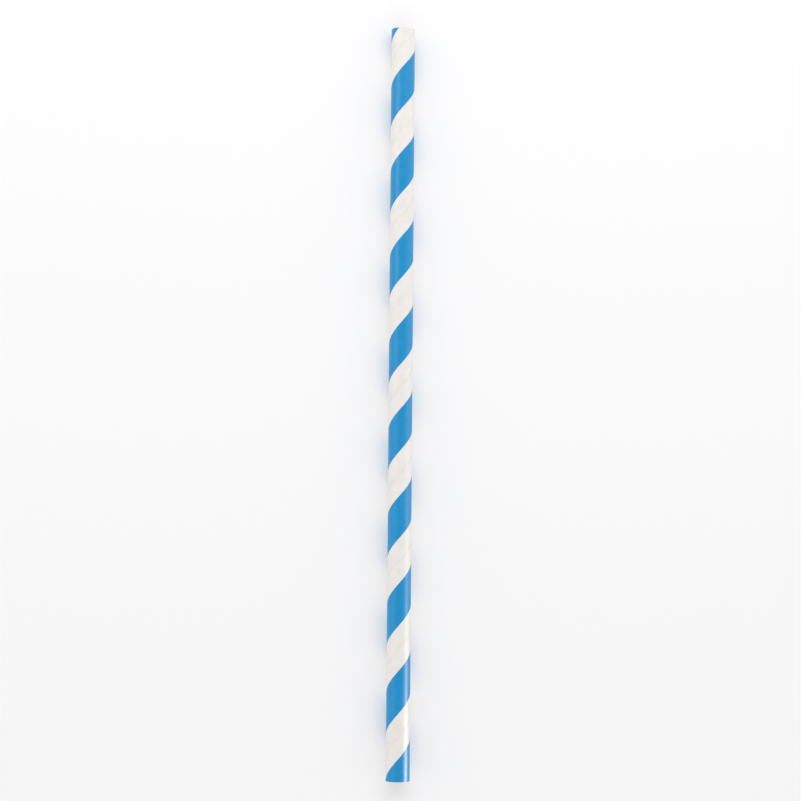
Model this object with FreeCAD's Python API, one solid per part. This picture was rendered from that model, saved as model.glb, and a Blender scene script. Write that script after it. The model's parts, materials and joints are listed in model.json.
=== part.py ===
import FreeCAD, Part
import math
import os

# Paper drinking straw: one tube of three paper strips glued one over another, each wound
# as a right-handed helix with its edges butted, then cut square at both ends.
# It lies on the floor along Y. The origin is under the middle of the tube, +Z is up.
# Millimetres throughout.

# overall size
strawLength = 197.0
outerDiameter = 6.3

# the wound wall
plyThickness = 0.13
plyCount = 3
windingLead = 22.6           # advance of a strip along the straw in one turn

# the thin wall gives a little where the straw lies, so it doesn't roll away
restWidth = 0.8

# butt seam of the innermost strip, the narrow gap between its wound edges.
# The outermost strip's edges meet in a hairline, so the outside is unbroken.
seamGap = 0.1
seamAngle = 55.0             # where the seam passes the middle of the straw, from the top

# how the seam cutters are laid out, no sizes of the straw
cutterTurns = 0.95           # each cutter stays under one full turn of the helix
cutterClearance = 0.12       # how far a cutter stands into the bore
cutterLap = 0.5              # neighbouring cutters share this much of the axis

outerRadius = outerDiameter / 2
boreRadius = outerRadius - plyCount * plyThickness
seamRadius = boreRadius + plyThickness / 2
axisHeight = math.sqrt(outerRadius ** 2 - (restWidth / 2) ** 2)

origin = FreeCAD.Vector(0, 0, 0)
axisX = FreeCAD.Vector(1, 0, 0)
axisY = FreeCAD.Vector(0, 1, 0)


def alongStraw(radius, length):
    """Solid rod on the straw's axis, with its joining line underneath."""
    rod = Part.makeCylinder(radius, length)
    rod.rotate(origin, axisX, -90)
    rod.rotate(origin, axisY, 90)
    rod.translate(FreeCAD.Vector(0, -length / 2, 0))
    return rod


def underFloor():
    """What lies below the floor, so that it takes the narrow flat off the underside."""
    slab = Part.makeBox(outerDiameter, strawLength + outerDiameter, outerRadius)
    slab.translate(FreeCAD.Vector(
        -outerRadius, -(strawLength + outerDiameter) / 2, -axisHeight - outerRadius))
    return slab


def seamCutter(start, end):
    """Helical strip of the seam's width for the part of the straw between two Y values.

    Its section is a rectangle, from inside the bore to the innermost strip's outer face.
    """
    steepness = math.atan2(windingLead, 2 * math.pi * seamRadius)
    halfWidth = seamGap / math.cos(steepness) / 2
    innerEdge = boreRadius - cutterClearance
    outerEdge = boreRadius + plyThickness
    corners = [
        FreeCAD.Vector(innerEdge, 0, -halfWidth),
        FreeCAD.Vector(outerEdge, 0, -halfWidth),
        FreeCAD.Vector(outerEdge, 0, halfWidth),
        FreeCAD.Vector(innerEdge, 0, halfWidth),
    ]
    section = Part.makePolygon(corners + [corners[0]])
    helix = Part.makeHelix(windingLead, end - start, seamRadius)
    strip = Part.Wire(helix).makePipeShell([section], True, True)
    strip.rotate(origin, axisX, -90)
    strip.rotate(origin, axisY, seamAngle - 90 + 360 * start / windingLead)
    strip.translate(FreeCAD.Vector(0, start, 0))
    return strip


def innerSeam():
    """Cutters that part the innermost strip along its edges, from end to end."""
    overrun = windingLead / 4
    first = -strawLength / 2 - overrun
    whole = strawLength + 2 * overrun
    count = math.ceil(whole / (windingLead * cutterTurns))
    step = whole / count
    cutters = []
    for number in range(count):
        start = first + number * step
        cutters.append(seamCutter(start, start + step + cutterLap))
    return cutters


def strawTube():
    """The wound wall with its square ends, its open bore and the seam inside."""
    tube = alongStraw(outerRadius, strawLength)
    tube = tube.cut(underFloor())
    tube = tube.cut(alongStraw(boreRadius, strawLength + windingLead))
    tube = tube.cut(innerSeam())
    tube.translate(FreeCAD.Vector(0, 0, axisHeight))
    return tube.Solids[0]


os.makedirs("parts", exist_ok=True)
strawTube().exportStep("parts/straw_tube.step")
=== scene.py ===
import json
import math
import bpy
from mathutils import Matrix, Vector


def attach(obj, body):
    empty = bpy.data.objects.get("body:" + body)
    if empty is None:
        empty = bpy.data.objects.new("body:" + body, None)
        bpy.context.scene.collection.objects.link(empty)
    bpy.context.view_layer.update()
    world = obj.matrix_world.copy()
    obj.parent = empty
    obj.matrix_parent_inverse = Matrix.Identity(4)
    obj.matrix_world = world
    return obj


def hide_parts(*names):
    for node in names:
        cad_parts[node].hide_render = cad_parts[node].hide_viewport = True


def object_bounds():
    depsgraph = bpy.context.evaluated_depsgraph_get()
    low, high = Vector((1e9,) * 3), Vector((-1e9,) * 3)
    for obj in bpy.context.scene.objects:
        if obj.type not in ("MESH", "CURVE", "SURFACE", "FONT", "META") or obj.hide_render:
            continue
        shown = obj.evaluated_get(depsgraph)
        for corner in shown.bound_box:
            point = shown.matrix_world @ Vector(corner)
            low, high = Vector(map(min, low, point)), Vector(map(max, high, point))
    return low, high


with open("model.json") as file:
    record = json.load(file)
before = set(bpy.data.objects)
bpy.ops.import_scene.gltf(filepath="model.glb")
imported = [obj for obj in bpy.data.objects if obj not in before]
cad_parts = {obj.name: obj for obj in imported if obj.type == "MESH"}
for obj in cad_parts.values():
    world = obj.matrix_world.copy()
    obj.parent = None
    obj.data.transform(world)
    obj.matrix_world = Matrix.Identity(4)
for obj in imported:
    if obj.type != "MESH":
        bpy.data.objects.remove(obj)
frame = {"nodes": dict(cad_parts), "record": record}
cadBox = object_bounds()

from types import SimpleNamespace

import bpy
from mathutils import Matrix, Vector, noise

mm = 0.001
plainWhite = (1.0, 1.0, 1.0, 1.0)
print("frame loaded:", ", ".join(sorted(frame["nodes"])))


def linearColour(hexText):
    # sRGB hex to the linear numbers a shader takes
    channels = [int(hexText[i:i + 2], 16) / 255 for i in (1, 3, 5)]
    linear = [c / 12.92 if c <= 0.04045 else ((c + 0.055) / 1.055) ** 2.4 for c in channels]
    return (*linear, 1.0)


def addNode(tree, kind, inputs=None, links=None, **settings):
    # one node with its settings, its socket values and what is plugged into it
    node = tree.nodes.new(kind)
    for name, value in settings.items():
        setattr(node, name, value)
    for socket, value in (inputs or {}).items():
        node.inputs[socket].default_value = value
    for socket, source in (links or {}).items():
        tree.links.new(source, node.inputs[socket])
    return node


def emptyMaterial(name):
    material = bpy.data.materials.new(name)
    material.use_nodes = True
    material.node_tree.nodes.clear()
    return material, material.node_tree


# The straw: three paper strips wound as right-handed helices, glued, and cut square.
# Angles go from the top of the straw towards +X, seen with +Y ahead.
strawTube = {
    "plies": 3,
    "plyThick": 0.13,        # mm
    "lead": 22.6,            # mm along the straw in one turn
    "seamGap": 0.1,          # mm between the edges of a wound strip
    "outerSeamAt": 295.0,    # degrees, where the seam crosses the middle of the straw
    "innerSeamAt": 55.0,     # the same for the strip that lines the bore
    "printShare": 0.485,     # of the strip's width is printed, opposite the seam
    "printWander": 1.6,      # degrees that the print's edge strays from its line
    "wanderLength": 19.0,    # mm of straw from one stray to the next
    "wanderStarts": ((0, 5), (40, 5)),  # where in the noise each print edge runs, far apart
    "rowStep": 0.4,          # mm between the rings of the mesh
    "columnStep": 5.0,       # degrees between the lines that follow the winding
    "endRows": (0.03, 0.09, 0.2),  # mm from each end, rings that shape the cut
    "edgeRoll": 0.018,       # mm that paper edges are worn round
    "cutRelief": 0.025,      # mm that a strip's faces, and so the glue, sit back in the cut
    "cutFuzz": 0.03,         # mm of loose fibre on the cut
    "fuzzRound": 9.0,        # the larger, the more tufts round the cut
    "fuzzApart": 3.0,        # keeps the tufts of neighbouring layers from matching
    "waveDepth": 0.07,       # mm that the wall is pressed in at most
    "waveLength": 13.0,      # mm of straw from one soft dent to the next
    "waveRound": 1.3,        # the larger, the more dents round the straw
    "sharpFrom": 40.0,       # degrees, where two faces meet in a crisp edge
}

# Each strip is two layers deep, so that its middle can be shaped at the cut and its
# seam can be half as deep as the strip.
layersPerStrip = 2

# the finishes of the faces, as the mesh counts its materials
barePaper, printedPaper, boreLining, cutEdge = range(4)

# steps from one corner of the mesh to the next, as row, column and level
alongStep = (1, 0, 0)
roundStep = (0, 1, 0)
outStep = (0, 0, 1)


def seamHalfAngle(gap, lead, plyRadius):
    # half of a gap measured across the strip, as degrees round the straw
    steepness = math.atan2(lead, 2 * math.pi * plyRadius)
    return gap / math.cos(steepness) / lead * 180


def columnAngles(fixed, step):
    # degrees from the outer seam: a line at every fixed one, and evenly in between; the
    # last one only closes the turn, because it is the first one again
    fixed = sorted(fixed)
    angles = []
    for low, high in zip(fixed, fixed[1:]):
        parts = max(1, round((high - low) / step))
        angles += [low + (high - low) * n / parts for n in range(parts)]
    return angles


def rowPlaces(spec, halfLength):
    # places of the rings along the straw, in mm, closer together at the two cuts
    inner = halfLength - spec["endRows"][-1]
    parts = round(2 * inner / spec["rowStep"])
    middle = [-inner + 2 * inner * n / parts for n in range(parts + 1)]
    ends = [halfLength] + [halfLength - step for step in spec["endRows"][:-1]]
    return [-y for y in ends] + middle + ends[::-1]


def layOut(spec):
    # the tube's sizes in mm, from the frame's mounts, and the net that its mesh follows:
    # rings along the straw, lines that follow the winding, and the wall's layers
    mounts = {mount["name"]: mount for mount in frame["record"]["mounts"]}
    outer = mounts["outside"]["dims"]["r_mm"]
    bore = mounts["bore"]["dims"]["r_mm"]
    halfLength = mounts["outside"]["dims"]["length_mm"] / 2
    ply = spec["plyThick"]
    outerHalf = seamHalfAngle(spec["seamGap"], spec["lead"], outer - ply / 2)
    innerHalf = seamHalfAngle(spec["seamGap"], spec["lead"], bore + ply / 2)
    # degrees from the outer seam to the inner one, and from the print's middle to its edge
    innerFrom = (spec["innerSeamAt"] - spec["outerSeamAt"]) % 360
    printHalf = spec["printShare"] * 180
    columns = columnAngles([-outerHalf, outerHalf, innerFrom - innerHalf, innerFrom + innerHalf,
                            180 - printHalf, 180 + printHalf, 360 - outerHalf],
                           spec["columnStep"])
    layers = layersPerStrip * spec["plies"]
    return SimpleNamespace(
        axisHeight=mounts["outside"]["pos_m"][2] / mm,
        outer=outer,
        bore=bore,
        outerHalf=outerHalf,
        innerHalf=innerHalf,
        innerFrom=innerFrom,
        printHalf=printHalf,
        rows=rowPlaces(spec, halfLength),
        columns=columns,
        seamColumns={0, columns.index(outerHalf)},
        printColumns=[columns.index(180 - printHalf), columns.index(180 + printHalf)],
        levels=[bore + ply * n / layersPerStrip for n in range(layers)] + [outer],
        top=layers,
    )


def middleOf(tube, column):
    # degrees from the outer seam to the middle between this line and the next
    following = column + 1
    if following < len(tube.columns):
        after = tube.columns[following]
    else:
        after = tube.columns[0] + 360
    return (tube.columns[column] + after) / 2


def isPaper(tube, column, level):
    # the innermost strip is missing in its seam, and the outermost one, which is
    # pressed closer, for half of its depth
    if level < 0 or level >= tube.top:
        return False
    middle = middleOf(tube, column % len(tube.columns))
    if level == tube.top - 1 and abs(middle) < tube.outerHalf:
        return False
    return not (level < layersPerStrip and abs(middle - tube.innerFrom) < tube.innerHalf)


def angleAt(tube, spec, row, column):
    # degrees round the straw of the corner where this ring and this line cross
    turn, place = divmod(column, len(tube.columns))
    along = tube.rows[row]
    own = tube.columns[place]
    if place in tube.printColumns:
        start = spec["wanderStarts"][tube.printColumns.index(place)]
        spot = Vector((along / spec["wanderLength"], *start))
        own += spec["printWander"] * noise.noise(spot)
    return spec["outerSeamAt"] + own + 360 * turn + 360 * along / spec["lead"]


def noiseRound(angle, size, along):
    # noise that closes on itself round the straw
    return noise.noise(Vector((size * math.sin(angle), size * math.cos(angle), along)))


def wallPress(spec, angle, along):
    # mm that the wall is off its true circle, always inwards
    dent = noiseRound(angle, spec["waveRound"], along / spec["waveLength"])
    return spec["waveDepth"] * (dent - 1) / 2


def cutInset(spec, angle, along, level):
    # mm that the cut is short of its true plane: the knife leaves the middle of each
    # strip a little proud of its two faces, and fuzzy
    relief = spec["cutRelief"] if level % layersPerStrip == 0 else 0
    tuft = noiseRound(angle, spec["fuzzRound"], along + level * spec["fuzzApart"])
    return relief + spec["cutFuzz"] * (tuft + 1) / 2


def pointAt(tube, spec, row, column, level):
    angle = math.radians(angleAt(tube, spec, row, column))
    along = tube.rows[row]
    radius = tube.levels[level] + wallPress(spec, angle, along)
    atCut = row in (0, len(tube.rows) - 1)
    if level == tube.top and (atCut or column in tube.seamColumns):
        radius -= spec["edgeRoll"]
    if level == 0 and atCut:
        radius += spec["edgeRoll"]
    if atCut:
        along -= math.copysign(cutInset(spec, angle, along, level), along)
    # the soft wall lies flat where it meets the floor
    height = max(0, tube.axisHeight + radius * math.cos(angle))
    return Vector((radius * math.sin(angle), along, height)) * mm


def patch(corner, first, second):
    # the four corners of a face, anticlockwise as seen from outside the paper
    def moved(*steps):
        return tuple(map(sum, zip(corner, *steps)))
    return [moved(), moved(first), moved(first, second), moved(second)]


def tubeFaces(tube):
    # every face as its finish and its corners, wherever paper meets air
    faces = []
    lastRow = len(tube.rows) - 1
    for column in range(len(tube.columns)):
        inPrint = abs(middleOf(tube, column) - 180) < tube.printHalf
        for level in range(-1, tube.top + 1):
            here = isPaper(tube, column, level)
            below = isPaper(tube, column, level - 1)
            before = isPaper(tube, column - 1, level)
            if level < tube.top:
                # the floor of the outer seam, as dull as the lining
                facingOut = boreLining
            else:
                facingOut = printedPaper if inPrint else barePaper
            for row in range(lastRow):
                corner = (row, column, level)
                if below and not here:
                    faces.append((facingOut, patch(corner, roundStep, alongStep)))
                if here and not below:
                    faces.append((boreLining, patch(corner, alongStep, roundStep)))
                if here and not before:
                    faces.append((cutEdge, patch(corner, outStep, alongStep)))
                if before and not here:
                    faces.append((cutEdge, patch(corner, alongStep, outStep)))
            if here:
                faces.append((cutEdge, patch((0, column, level), roundStep, outStep)))
                faces.append((cutEdge, patch((lastRow, column, level), outStep, roundStep)))
    return faces


def stripPlaces(tube, spec, finishes, patches):
    # the paper's own coordinates in mm: along the strip and across it, and on the cuts
    # round the straw and into the wall
    steepness = math.atan2(spec["lead"], 2 * math.pi * tube.outer)
    places = []
    for finish, corners in zip(finishes, patches):
        for row, column, level in corners:
            girth = math.radians(angleAt(tube, spec, row, column)) * tube.outer
            along = tube.rows[row]
            if finish == cutEdge:
                places += [girth + along, tube.levels[level] - tube.bore]
            else:
                places += [girth * math.cos(steepness) + along * math.sin(steepness),
                           along * math.cos(steepness) - girth * math.sin(steepness)]
    return places


def woundTube(spec):
    tube = layOut(spec)
    finishes, patches = zip(*tubeFaces(tube))
    numbers = {}
    faces = []
    for corners in patches:
        # the last line's neighbour is the first one, a turn further
        shared = [(row, column % len(tube.columns), level) for row, column, level in corners]
        faces.append([numbers.setdefault(corner, len(numbers)) for corner in shared])
    points = [pointAt(tube, spec, *corner) for corner in numbers]
    mesh = bpy.data.meshes.new("strawPaperTube")
    mesh.from_pydata(points, [], faces)
    mesh.polygons.foreach_set("material_index", finishes)
    mesh.polygons.foreach_set("use_smooth", [True] * len(faces))
    mesh.set_sharp_from_angle(angle=math.radians(spec["sharpFrom"]))
    layer = mesh.uv_layers.new(name="stripPlace")
    layer.uv.foreach_set("vector", stripPlaces(tube, spec, finishes, patches))
    mesh.validate()
    return mesh


# Bleached kraft straw paper, calendered: white with a warm cast, faint clouds where the
# fibres lie thicker, and a soft sheen from the rollers.
bleachedKraft = {
    "colour": "#E9E5E1",
    "cloudColour": "#E3DFDA",
    "cloudSize": 2.6,        # mm
    "fibreLength": 1.3,      # mm, drawn several times coarser than real fibres to show
    "fibreWidth": 0.22,      # mm
    "fibreHeight": 0.004,    # mm
    "roughness": 0.4,
    "roughnessSpread": 0.06,
    "gloss": 0.3,
}

# The same paper under a flat flexographic ink: one strong blue, a little smoother than
# the bare paper, with the light mottle of ink on an uneven sheet.
flexoPrint = {
    "colour": "#0A8EC7",
    "cloudColour": "#0587C1",
    "cloudSize": 1.7,
    "fibreLength": 1.1,
    "fibreWidth": 0.2,
    "fibreHeight": 0.003,
    "roughness": 0.32,
    "roughnessSpread": 0.05,
    "gloss": 0.4,
}

# The strip that lines the bore: uncoated side out, so duller than the outside.
liningPaper = {
    "colour": "#E6E1DA",
    "cloudColour": "#DED8D0",
    "cloudSize": 2.6,
    "fibreLength": 1.3,
    "fibreWidth": 0.25,
    "fibreHeight": 0.007,
    "roughness": 0.68,
    "roughnessSpread": 0.06,
    "gloss": 0.3,
}

# The knife cut: raw fibre, matt, slightly darker where it holds dust, with the two glue
# lines between the strips as fine darker rings.
cutFibre = {
    "colour": "#DFDAD2",
    "cloudColour": "#CFC8BD",
    "cloudSize": 0.35,
    "fibreLength": 0.12,
    "fibreWidth": 0.05,
    "fibreHeight": 0.012,
    "roughness": 0.85,
    "roughnessSpread": 0.04,
    "gloss": 0.2,
    "glueColour": "#A99F90",
    "glueWidth": 0.028,      # mm from the middle of a glue line to its edge
}

# What all four have in common, as paper: how the clouds and the fibres are drawn.
paperGrain = {
    "ior": 1.5,              # cellulose
    "cloudDetail": 3.0,
    "cloudBreakUp": 0.55,
    "cloudRange": (0.35, 0.7),  # of the noise, from clear paper to full cloud
    "fibreDetail": 4.0,
    "fibreBreakUp": 0.6,
    "fibreCurl": 0.4,
    "fibreRange": (0.3, 0.7),   # of the noise, from the smoothest to the roughest
}

# the sockets of a Mix node that take and give colours
mixFirst, mixSecond, mixResult = 6, 7, 2


def glueLines(tree, place, paperColour, spec):
    # darker rings in the cut, half a strip either side of the wall's middle
    ply = strawTube["plyThick"]
    depth = addNode(tree, "ShaderNodeSeparateXYZ", links={"Vector": place.outputs["UV"]})
    fromMiddle = addNode(tree, "ShaderNodeMath", {1: strawTube["plies"] * ply / 2},
                         {0: depth.outputs["Y"]}, operation="SUBTRACT")
    eitherSide = addNode(tree, "ShaderNodeMath", links={0: fromMiddle.outputs["Value"]},
                         operation="ABSOLUTE")
    fromLine = addNode(tree, "ShaderNodeMath", {1: ply / 2},
                       {0: eitherSide.outputs["Value"]}, operation="SUBTRACT")
    distance = addNode(tree, "ShaderNodeMath", links={0: fromLine.outputs["Value"]},
                       operation="ABSOLUTE")
    strength = addNode(tree, "ShaderNodeMapRange",
                       {"From Min": 0.0, "From Max": spec["glueWidth"],
                        "To Min": 1.0, "To Max": 0.0},
                       {"Value": distance.outputs["Value"]})
    return addNode(tree, "ShaderNodeMix",
                   {mixSecond: linearColour(spec["glueColour"])},
                   {"Factor": strength.outputs["Result"], mixFirst: paperColour},
                   data_type="RGBA")


def paperMaterial(name, spec):
    material, tree = emptyMaterial(name)
    place = addNode(tree, "ShaderNodeUVMap", uv_map="stripPlace")
    clouds = addNode(tree, "ShaderNodeTexNoise",
                     {"Scale": 1 / spec["cloudSize"], "Detail": paperGrain["cloudDetail"],
                      "Roughness": paperGrain["cloudBreakUp"]},
                     {"Vector": place.outputs["UV"]})
    clear, clouded = paperGrain["cloudRange"]
    cloudRamp = addNode(tree, "ShaderNodeMapRange",
                        {"From Min": clear, "From Max": clouded},
                        {"Value": clouds.outputs["Fac"]})
    tone = addNode(tree, "ShaderNodeMix",
                   {mixFirst: linearColour(spec["colour"]),
                    mixSecond: linearColour(spec["cloudColour"])},
                   {"Factor": cloudRamp.outputs["Result"]}, data_type="RGBA")
    if "glueColour" in spec:
        tone = glueLines(tree, place, tone.outputs[mixResult], spec)
    stretch = addNode(tree, "ShaderNodeMapping",
                      {"Scale": (1 / spec["fibreLength"], 1 / spec["fibreWidth"], 1)},
                      {"Vector": place.outputs["UV"]})
    fibres = addNode(tree, "ShaderNodeTexNoise",
                     {"Scale": 1.0, "Detail": paperGrain["fibreDetail"],
                      "Roughness": paperGrain["fibreBreakUp"],
                      "Distortion": paperGrain["fibreCurl"]},
                     {"Vector": stretch.outputs["Vector"]})
    smoothest, roughest = paperGrain["fibreRange"]
    sheen = addNode(tree, "ShaderNodeMapRange",
                    {"From Min": smoothest, "From Max": roughest,
                     "To Min": spec["roughness"] - spec["roughnessSpread"],
                     "To Max": spec["roughness"] + spec["roughnessSpread"]},
                    {"Value": fibres.outputs["Fac"]})
    bump = addNode(tree, "ShaderNodeBump",
                   {"Strength": 1.0, "Distance": spec["fibreHeight"] * mm},
                   {"Height": fibres.outputs["Fac"]})
    paper = addNode(tree, "ShaderNodeBsdfPrincipled",
                    {"IOR": paperGrain["ior"], "Specular IOR Level": spec["gloss"]},
                    {"Base Color": tone.outputs[mixResult],
                     "Roughness": sheen.outputs["Result"],
                     "Normal": bump.outputs["Normal"]})
    addNode(tree, "ShaderNodeOutputMaterial", links={"Surface": paper.outputs["BSDF"]})
    return material


def makeStraw():
    mesh = woundTube(strawTube)
    # in the order that the faces count them
    for name, spec in (("bleachedKraftPaper", bleachedKraft), ("flexoPrintedPaper", flexoPrint),
                       ("liningPaper", liningPaper), ("knifeCutPaper", cutFibre)):
        mesh.materials.append(paperMaterial(name, spec))
    straw = bpy.data.objects.new("strawPaperTube", mesh)
    bpy.context.scene.collection.objects.link(straw)
    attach(straw, "root")
    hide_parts("straw_tube")
    print("straw made:", len(mesh.vertices), "points,", len(mesh.polygons), "faces")


# Opal acrylic of a light table, sanded matt, so it has no gloss. It glows faintly
# through, which keeps the shade beside the straw pale.
studioFloor = {
    "size": 4.0,             # m
    "colour": "#D2D2D3",
    "glow": 0.272,           # strength of the light that comes through
    "roughness": 0.9,
    "gloss": 0.0,
}


def makeFloor():
    half = studioFloor["size"] / 2
    mesh = bpy.data.meshes.new("studioFloor")
    mesh.from_pydata([(-half, -half, 0), (half, -half, 0), (half, half, 0), (-half, half, 0)],
                     [], [(0, 1, 2, 3)])
    material, tree = emptyMaterial("sandedOpalAcrylic")
    acrylic = addNode(tree, "ShaderNodeBsdfPrincipled",
                      {"Base Color": linearColour(studioFloor["colour"]),
                       "Roughness": studioFloor["roughness"],
                       "Specular IOR Level": studioFloor["gloss"],
                       "Emission Color": plainWhite,
                       "Emission Strength": studioFloor["glow"]})
    addNode(tree, "ShaderNodeOutputMaterial", links={"Surface": acrylic.outputs["BSDF"]})
    mesh.materials.append(material)
    floor = bpy.data.objects.new("studioFloor", mesh)
    bpy.context.scene.collection.objects.link(floor)
    print("floor made")


# An even fill from all round. It is darker overhead, where the camera is, and dims
# towards the floor, so that the two meet with no line. A wide soft panel hangs over the
# floor past the straw's far end. Two strips low on either side light no floor and cast
# no shadow: they only lie as bright lines along the straw's shoulders.
studioLight = {
    "fill": 1.18,            # strength of the fill from the sides
    "fillOverhead": 0.5,     # straight above
    "darkWithin": 25.0,      # degrees from straight above
    "brightFrom": 55.0,      # the same, where the fill is at full strength
    "fillAtFloor": 0.835,    # where it meets the floor, as bright as the floor looks
    "sweepHeight": 12.0,     # degrees above the floor where it is at full strength
    "boxes": [               # places and sizes in m
        {"name": "farPanel", "place": (0.0, 0.5, 0.5), "aim": (0.0, 0.5, 0.0),
         "size": (0.8, 0.5), "watts": 2.0, "glossOnly": False},
        {"name": "leftStrip", "place": (-0.66, 0.25, 0.43), "aim": (0.0, 0.0, 0.0),
         "size": (0.16, 0.4), "watts": 0.75, "glossOnly": True},
        {"name": "rightStrip", "place": (0.74, -0.34, 0.16), "aim": (0.0, 0.0, 0.0),
         "size": (0.3, 0.5), "watts": 19.0, "glossOnly": True},
    ],
}


def makeFill():
    world = bpy.data.worlds.new("studioFill")
    bpy.context.scene.world = world
    world.use_nodes = True
    tree = world.node_tree
    tree.nodes.clear()
    direction = addNode(tree, "ShaderNodeTexCoord")
    height = addNode(tree, "ShaderNodeSeparateXYZ",
                     links={"Vector": direction.outputs["Generated"]})
    overhead = addNode(tree, "ShaderNodeMapRange",
                       {"From Min": math.cos(math.radians(studioLight["brightFrom"])),
                        "From Max": math.cos(math.radians(studioLight["darkWithin"])),
                        "To Min": studioLight["fill"], "To Max": studioLight["fillOverhead"]},
                       {"Value": height.outputs["Z"]})
    sweep = addNode(tree, "ShaderNodeMapRange",
                    {"From Min": 0.0,
                     "From Max": math.sin(math.radians(studioLight["sweepHeight"])),
                     "To Min": studioLight["fillAtFloor"], "To Max": studioLight["fill"]},
                    {"Value": height.outputs["Z"]})
    strength = addNode(tree, "ShaderNodeMath",
                       links={0: overhead.outputs["Result"], 1: sweep.outputs["Result"]},
                       operation="MINIMUM")
    fill = addNode(tree, "ShaderNodeBackground", {"Color": plainWhite},
                   {"Strength": strength.outputs["Value"]})
    addNode(tree, "ShaderNodeOutputWorld", links={"Surface": fill.outputs["Background"]})
    print("fill made")


def makeLights():
    for spec in studioLight["boxes"]:
        data = bpy.data.lights.new(spec["name"], "AREA")
        data.shape = "RECTANGLE"
        data.size, data.size_y = spec["size"]
        data.energy = spec["watts"]
        box = bpy.data.objects.new(spec["name"], data)
        box.visible_camera = False
        box.visible_diffuse = not spec["glossOnly"]
        box.location = spec["place"]
        away = Vector(spec["place"]) - Vector(spec["aim"])
        box.rotation_euler = away.to_track_quat("Z", "Y").to_euler()
        bpy.context.scene.collection.objects.link(box)
    print("lights made")


# The camera is above the straw, to its left and a little towards its near end.
cameraRig = {
    "fromStraw": (-0.083, -0.038, 0.52),  # m from the middle of the straw
    "lean": 0.44,                         # degrees that the far end leans to the right
    "fill": 0.94,                         # of the picture's height that the straw takes
    "sensor": 36.0,                       # mm
    "nearest": 0.01,                      # m, what is closer isn't seen
}


def makeCamera():
    low, high = cadBox
    middle = (Vector(low) + Vector(high)) / 2
    length = high[1] - low[1]
    eye = middle + Vector(cameraRig["fromStraw"])
    back = (eye - middle).normalized()
    alongStraw = Vector((0, 1, 0))
    right = alongStraw.cross(back).normalized()
    up = back.cross(right)
    turn = Matrix((right, up, back)).transposed().to_4x4()
    roll = Matrix.Rotation(math.radians(cameraRig["lean"]), 4, "Z")
    data = bpy.data.cameras.new("photoCamera")
    data.sensor_width = cameraRig["sensor"]
    # the lens with which the straw takes its share of the picture
    data.lens = cameraRig["sensor"] * (eye - middle).length * cameraRig["fill"] / length
    data.clip_start = cameraRig["nearest"]
    camera = bpy.data.objects.new("photoCamera", data)
    camera.matrix_world = Matrix.Translation(eye) @ turn @ roll
    bpy.context.scene.collection.objects.link(camera)
    bpy.context.scene.camera = camera
    print("camera made, lens", round(data.lens, 1), "mm")


bpy.context.scene.view_settings.view_transform = "Standard"
makeStraw()
makeFloor()
makeFill()
makeLights()
makeCamera()
